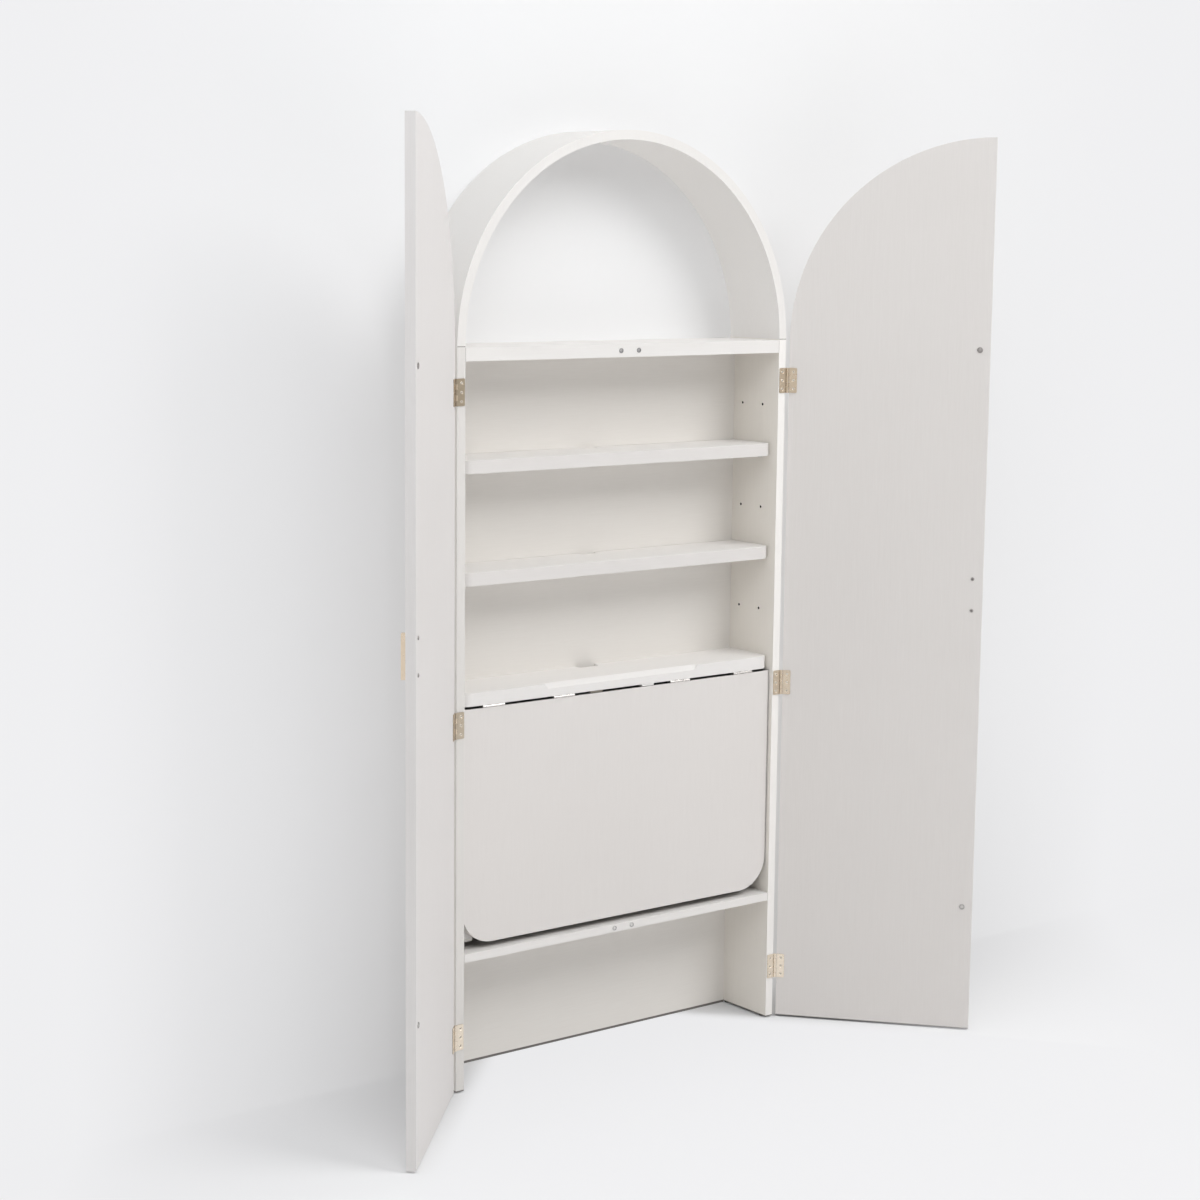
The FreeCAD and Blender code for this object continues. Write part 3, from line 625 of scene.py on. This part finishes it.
def measured(points):
    """End, outward axis, head radius, shank radius and length of one solid of revolution."""
    middle = (points.min(0) + points.max(0)) / 2
    values, axes = np.linalg.eigh(np.cov((points - points.mean(0)).T))
    odd = 0 if values[1] - values[0] > values[2] - values[1] else 2
    axis = axes[:, odd]
    heights = (points - middle) @ axis
    away = np.linalg.norm(points - middle - np.outer(heights, axis), axis=1)
    widest = heights[away > WIDEST_SHARE * away.max()].mean()
    if abs(widest) < END_SHARE * np.ptp(heights):
        axis = axis if axis[1] < 0 else -axis
    elif widest < 0:
        axis = -axis
    heights = (points - middle) @ axis
    low_end = heights < heights.min() + END_SHARE * np.ptp(heights)
    return {
        "end": Vector(middle + axis * heights.max()),
        "axis": Vector(axis),
        "head": float(away.max()),
        "shank": float(away[low_end].max()),
        "length": float(np.ptp(heights)),
    }


def turned_solids(node):
    """The measures of each solid of revolution in a CAD node, in the order of their places."""
    work = bmesh.new()
    work.from_mesh(nodes[node].data)
    bmesh.ops.remove_doubles(work, verts=work.verts, dist=WELD_DISTANCE)
    left = set(work.verts)
    found = []
    while left:
        island, edge = set(), {left.pop()}
        while edge:
            vert = edge.pop()
            island.add(vert)
            edge |= {e.other_vert(vert) for e in vert.link_edges} - island
        left -= island
        found.append(measured(np.array(sorted(tuple(v.co) for v in island))))
    work.free()
    return sorted(found, key=lambda solid: tuple(round(c, PLACE_DIGITS) for c in solid["end"]))


def ring(work, radius, height):
    """A ring of vertices round Z."""
    turns = [math.tau / RING_STEPS * i for i in range(RING_STEPS)]
    return [work.verts.new((radius * math.cos(t), radius * math.sin(t), height)) for t in turns]


def skin(work, rings):
    """Faces between rings that follow each other, the first of them uppermost."""
    for upper, lower in zip(rings, rings[1:]):
        for i in range(len(upper)):
            j = (i + 1) % len(upper)
            work.faces.new((upper[i], lower[i], lower[j], upper[j]))


def turned(profile):
    """A turned form, open at its top and shut at its foot, and its top ring of vertices."""
    work = bmesh.new()
    rings = [ring(work, radius, height) for radius, height in profile]
    skin(work, rings)
    work.faces.new(list(reversed(rings[-1])))
    return work, rings[0]


def cross_recess(work, rim, radius, height):
    """Closes a rim with a flat face that has a cross-shaped recess in it."""
    arm, half = CROSS_ARM_SHARE * radius, CROSS_HALF_WIDTH_SHARE * radius
    outline = []
    for turn in range(4):
        for x, y in ((arm, -half), (arm, half), (half, half)):
            for _ in range(turn):
                x, y = -y, x
            outline.append((x, y))
    taper, floor_z = CROSS_TAPER_SHARE, height - CROSS_DEPTH_SHARE * radius
    mouth = [work.verts.new((x, y, height)) for x, y in outline]
    floor = [work.verts.new((taper * x, taper * y, floor_z)) for x, y in outline]
    loops = []
    for loop in (rim, mouth):
        for a, b in zip(loop, loop[1:] + loop[:1]):
            loops.append(work.edges.get((a, b)) or work.edges.new((a, b)))
    bmesh.ops.triangle_fill(work, edges=loops, use_beauty=True, normal=(0, 0, 1))
    skin(work, [mouth, floor])
    work.faces.new(floor)


def sunk_screw(solid):
    """A countersunk screw with a cross recess, its top just below height 0."""
    head, shank = solid["head"], solid["shank"]
    wide, top = HEAD_SHARE * head, -HEAD_SUNK_SHARE * head
    work, rim = turned([
        (wide * (1 - HEAD_RIM_SHARE), top),
        (wide, top - HEAD_RIM_SHARE * wide),
        (shank, top - head),
        (TIP_SHARE * shank, -solid["length"]),
    ])
    cross_recess(work, rim, wide, top)
    return work


def round_screw(solid):
    """A pan-head screw with a cross recess, its top at height 0."""
    head, shank = solid["head"], solid["shank"]
    height = PAN_HEIGHT_SHARE * head
    profile = [(radius * head, -depth * height) for radius, depth in PAN_PROFILE]
    profile += [(shank, -height), (TIP_SHARE * shank, -solid["length"])]
    work, crown = turned(profile)
    cross_recess(work, crown, head, 0)
    return work


def cup_disc(solid):
    """A round plate, on a thin nail if its solid has one, with a raised rim, a groove and a domed
    middle, its top at height 0."""
    head, shank, length = solid["head"], solid["shank"], solid["length"]
    shares = DISC_MIDDLE + DISC_GROOVE + DISC_RIM
    profile = [(radius * head, -depth * head) for radius, depth in shares]
    if shank < DISC_NAIL_SHARE * head:
        thickness = DISC_THICKNESS_SHARE * head
        profile += [(head, -thickness), (shank, -thickness), (shank, -length)]
    else:
        profile.append((head, -length))
    work, middle = turned(profile)
    work.faces.new(middle)
    return work


def placed_copies(node, shape, mat):
    """A piece that replaces a CAD node, with one shaped copy at each of its turned solids."""
    name = node + "_cut"
    whole = bmesh.new()
    for solid in turned_solids(node):
        work = shape(solid)
        bmesh.ops.recalc_face_normals(work, faces=work.faces)
        turn = solid["axis"].to_track_quat("Z", "Y").to_matrix().to_4x4()
        work.transform(Matrix.Translation(solid["end"]) @ turn)
        mesh = bpy.data.meshes.new("work")
        work.to_mesh(mesh)
        work.free()
        whole.from_mesh(mesh)
        bpy.data.meshes.remove(mesh)
    mesh = bpy.data.meshes.new(name)
    whole.to_mesh(mesh)
    whole.free()
    mesh.materials.append(mat)
    obj = bpy.data.objects.new(name, mesh)
    bpy.context.scene.collection.objects.link(obj)
    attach(obj, body_of[node])
    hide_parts(node)


def make_camera():
    """The photograph's camera."""
    data = bpy.data.cameras.new("camera")
    data.lens = CAMERA_LENS
    data.sensor_width = CAMERA_SENSOR
    camera = bpy.data.objects.new("camera", data)
    turn = Matrix.Rotation(math.radians(-CAMERA_AZIMUTH), 4, "Z")
    tilt = Matrix.Rotation(math.radians(90.0 - CAMERA_DROP), 4, "X")
    roll = Matrix.Rotation(math.radians(CAMERA_ROLL), 4, "Z")
    camera.matrix_world = Matrix.Translation(CAMERA_PLACE) @ turn @ tilt @ roll
    bpy.context.scene.collection.objects.link(camera)
    bpy.context.scene.camera = camera


def seen_rays(tree):
    """1 for rays that show a surface, directly, in a reflection or through glass, else 0."""
    path = tree.nodes.new("ShaderNodeLightPath").outputs
    shown = calculated(tree, "MAXIMUM", path["Is Camera Ray"], path["Is Glossy Ray"])
    return calculated(tree, "MAXIMUM", shown, path["Is Transmission Ray"])


def cove_normal(tree, axis, reach, far_lean):
    """Where seen, a normal that leans by COVE_LEAN at the meeting line and by far_lean far off."""
    near, far = math.radians(COVE_LEAN), math.radians(far_lean)
    lean = ranged(tree, axis_value(tree, axis), near, far, 0.0, reach, True)
    lean = calculated(tree, "MULTIPLY", lean, seen_rays(tree))
    outwards = calculated(tree, "MULTIPLY", calculated(tree, "SINE", lean), -1.0)
    parts = tree.nodes.new("ShaderNodeCombineXYZ")
    tree.links.new(outwards, parts.inputs["Y"])
    tree.links.new(calculated(tree, "COSINE", lean), parts.inputs["Z"])
    return parts.outputs["Vector"]


def glow_share(tree):
    """How much of the backdrop glows: little beside the object, nearly all of it further off."""
    away = calculated(tree, "ADD", along(tree, GLOW_ACROSS), GLOW_SHIFT)
    away = calculated(tree, "ABSOLUTE", away)
    return ranged(tree, away, NEAR_GLOW_SHARE, FAR_GLOW_SHARE, GLOW_START, GLOW_END)


def before_door(tree, door, hinge_side):
    """1 a little way before an open door, whose hinges are at its -1 or +1 end, and 0 behind."""
    low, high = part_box(door)
    hinge_x = high[0] if hinge_side > 0 else low[0]
    across = Vector((hinge_side * (high[1] - low[1]), low[0] - high[0], 0.0)).normalized()
    start = across.dot((hinge_x, high[1], 0.0))
    return ranged(tree, along(tree, across), 0.0, 1.0, start, start + FRONT_REACH, True)


def front_share(tree):
    """How much of the floor glows: nothing just behind the doors, most before and far off."""
    left, right = before_door(tree, "left_door", 1.0), before_door(tree, "right_door", -1.0)
    near = calculated(tree, "MINIMUM", left, right)
    near = calculated(tree, "MULTIPLY", near, FRONT_GLOW_SHARE)
    squares = [calculated(tree, "POWER", axis_value(tree, axis), 2.0) for axis in "XY"]
    away = calculated(tree, "SQRT", calculated(tree, "ADD", *squares))
    far = ranged(tree, away, 0.0, FAR_GLOW_SHARE, ROUND_START, ROUND_END, True)
    return calculated(tree, "MAXIMUM", near, far)


def backdrop_material(name, colour, axis, reach, far_lean, front=False):
    """Pale backdrop that keeps the shadow, glows where it is seen and is clear from behind."""
    mat, tree, shader = new_material(name)
    tree.nodes.remove(shader)
    diffuse = tree.nodes.new("ShaderNodeBsdfDiffuse")
    meeting = ranged(tree, axis_value(tree, axis), 1.0, 0.0, 0.0, reach / 2, True)
    tree.links.new(blended(tree, meeting, colour, WALL_COLOUR), diffuse.inputs["Color"])
    tree.links.new(cove_normal(tree, axis, reach, far_lean), diffuse.inputs["Normal"])
    glow = tree.nodes.new("ShaderNodeEmission")
    glow.inputs["Color"].default_value = (*BACKDROP_COLOUR, 1.0)
    clear = tree.nodes.new("ShaderNodeBsdfTransparent")
    behind = tree.nodes.new("ShaderNodeNewGeometry").outputs["Backfacing"]
    share = glow_share(tree)
    if front:
        share = calculated(tree, "MAXIMUM", share, front_share(tree))
    share = calculated(tree, "MULTIPLY", seen_rays(tree), share)
    lit = mixed_shader(tree, share, diffuse.outputs["BSDF"], glow.outputs["Emission"])
    shown = mixed_shader(tree, behind, lit, clear.outputs["BSDF"])
    tree.links.new(shown, tree.nodes["Material Output"].inputs["Surface"])
    return mat


def plane(name, corners, mat):
    """One flat stage piece."""
    mesh = bpy.data.meshes.new(name)
    mesh.from_pydata(corners, [], [tuple(range(len(corners)))])
    mesh.materials.append(mat)
    obj = bpy.data.objects.new(name, mesh)
    bpy.context.scene.collection.objects.link(obj)
    return obj


def make_stage():
    """Floor under the cabinet and wall behind it, which takes no part in lighting the object."""
    w, d, h, g = STAGE_HALF_WIDTH, STAGE_DEPTH, STAGE_HEIGHT, WALL_GAP
    floor_white = backdrop_material(
        "floor_white", FLOOR_COLOUR, "Y", -COVE_REACH, FLOOR_LEAN, front=True)
    wall_white = backdrop_material("wall_white", WALL_COLOUR, "Z", COVE_REACH, WALL_LEAN)
    plane("floor", [(-w, -d, 0), (w, -d, 0), (w, g, 0), (-w, g, 0)], floor_white)
    wall = plane("wall", [(-w, g, 0), (w, g, 0), (w, g, h), (-w, g, h)], wall_white)
    wall.visible_diffuse = False
    wall.visible_shadow = False


def make_world():
    """Light from all round, stronger from the wall's side, and the backdrop's colour if seen."""
    world = bpy.data.worlds.new("studio")
    world.use_nodes = True
    tree = world.node_tree
    shade = tree.nodes["Background"]
    shade.inputs["Color"].default_value = (*WORLD_COLOUR, 1.0)
    source = tree.nodes.new("ShaderNodeTexCoord")
    axes = tree.nodes.new("ShaderNodeSeparateXYZ")
    tree.links.new(source.outputs["Generated"], axes.inputs["Vector"])
    depth = axes.outputs["Y"]
    strength = ranged(tree, depth, WORLD_FRONT, WORLD_BACK, -WORLD_BLEND, WORLD_BLEND)
    tree.links.new(strength, shade.inputs["Strength"])
    seen = tree.nodes.new("ShaderNodeBackground")
    seen.inputs["Color"].default_value = (*BACKDROP_COLOUR, 1.0)
    light, view = shade.outputs["Background"], seen.outputs["Background"]
    shown = mixed_shader(tree, seen_rays(tree), light, view)
    tree.links.new(shown, tree.nodes["World Output"].inputs["Surface"])
    bpy.context.scene.world = world


def softbox(name, place, size, power, colour=PLAIN_COLOUR, aim=LIGHT_AIM):
    """A large square lamp aimed at the cabinet."""
    data = bpy.data.lights.new(name, "AREA")
    data.size = size
    data.energy = power
    data.color = colour
    lamp = bpy.data.objects.new(name, data)
    lamp.location = place
    direction = Vector(aim) - Vector(place)
    lamp.rotation_euler = direction.to_track_quat("-Z", "Y").to_euler()
    bpy.context.scene.collection.objects.link(lamp)


def make_lamps():
    """Two lamps high in front, a cool one above on the left and a weak one low in front."""
    softbox("key", KEY_PLACE, KEY_SIZE, KEY_POWER)
    softbox("fill", FILL_PLACE, FILL_SIZE, FILL_POWER)
    softbox("top", TOP_PLACE, TOP_SIZE, TOP_POWER, TOP_COLOUR)
    softbox("card", CARD_PLACE, CARD_SIZE, CARD_POWER, aim=CARD_AIM)


def board_finishes():
    """The material of each board that has its own, some with painted light or shade."""
    spring = ("Z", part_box("arch")[0][2])
    ends = ("X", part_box("top_shelf")[1][0])
    return {
        "arch": lacquer("lacquer_arch", "z", seam=spring),
        "left_door": lacquer("lacquer_left_door", "z", LEFT_DOOR_PAINTED_SHADE),
        "right_door": lacquer("lacquer_right_door", "z", RIGHT_DOOR_PAINTED_SHADE, ground=True),
        "desk_flap": lacquer("lacquer_flap", "z", FLAP_PAINTED_SHADE, gaps=True),
        "left_side": lacquer(
            "lacquer_left_side", "z", LEFT_SIDE_PAINTED_SHADE, LEFT_SIDE_FRONT_SHADE,
            seam=spring, bored="left_side", ground=True),
        "right_side": lacquer(
            "lacquer_right_side", "z", RIGHT_SIDE_PAINTED_LIGHT, RIGHT_SIDE_FRONT_LIGHT,
            seam=spring, bored="right_side", ground=True),
        "back_panel": lacquer("lacquer_back", "x", BACK_PAINTED_LIGHT, ground=True),
        "top_shelf": lacquer("lacquer_top_shelf", "x", seam=ends),
        "lower_shelf": lacquer("lacquer_lower_shelf", "x", seam=ends),
        "desk_shelf": lacquer(
            "lacquer_desk_shelf", "x", DESK_SHELF_PAINTED_LIGHT, DESK_SHELF_FRONT_SHADE, seam=ends),
        "gap_blocks": two_blocks("gap_block_faces"),
    }


def dress_boards():
    """Lacquer and rounded edges for every board."""
    finishes = board_finishes()
    # The loose shelves' fronts made darker: painted shade.
    loose = lacquer("lacquer_loose_shelf", "x", front=LOOSE_SHELF_FRONT_SHADE)
    upright = lacquer("lacquer_upright", "z")
    for node, slot in slot_of.items():
        if slot == "white_lacquer":
            plain = loose if "shelf" in node else upright
            paint(nodes[node], finishes.get(node, plain))
            soften(nodes[node], BORED_EDGE if node.endswith("_side") else BOARD_EDGE)


def dress_fittings():
    """Metal, rubber and beech for the fittings, with rounded edges on the hinge leaves."""
    zinc = metal("zinc_steel", *ZINC, low=ZINC_LOW_LIGHT)
    nickel = metal("satin_nickel", *NICKEL, brush="x")
    finishes = {
        "brass": metal("satin_brass", *BRASS, low=BRASS_LOW_LIGHT),
        "nickel": nickel,
        "steel": zinc,
        "dark_rubber": rubber("dark_rubber", *DARK_RUBBER),
        "pale_rubber": rubber("pale_rubber", *PALE_RUBBER),
        "beech": beech("plain_beech"),
        "white_metal": powder_coat("white_powder_coat"),
    }
    for node, slot in slot_of.items():
        if slot in finishes:
            paint(nodes[node], finishes[slot])
            if "leaves" in node:
                soften(nodes[node], METAL_EDGE)
    # The left frame hinge leaves get a darker copy of the brass: painted shade.
    paint(nodes["left_frame_hinge_leaves"], metal("brass_painted_shade", *SHADED_BRASS, low=BRASS_LOW_LIGHT))
    bar = metal("bar_brass", *BAR_BRASS)
    for side in ("left", "right"):
        paint(nodes[side + "_handle"], bar)
    add_fasteners(nickel, zinc)


def add_fasteners(nickel, zinc):
    """Cross-head screws and rimmed discs in place of the plain screws, magnets and strikes."""
    bright = metal("bright_screw", *BRIGHT_SCREW)
    grey = metal("grey_steel", *GREY_STEEL, low=GREY_LOW_LIGHT)
    for side in ("left", "right"):
        placed_copies(side + "_door_hinge_screws", sunk_screw, bright)
        placed_copies(side + "_handle_screws", round_screw, grey)
        placed_copies(side + "_strikes", cup_disc, grey)
    placed_copies("frame_hinge_screws", sunk_screw, bright)
    for holder in ("shelf_hinge", "flap_hinge", "back", "prop_bracket"):
        placed_copies(holder + "_screws", sunk_screw, nickel)
    placed_copies("magnet_catches", cup_disc, zinc)


bpy.context.scene.view_settings.view_transform = "Standard"
clear_defaults()
make_camera()
make_stage()
make_world()
make_lamps()
dress_boards()
dress_fittings()
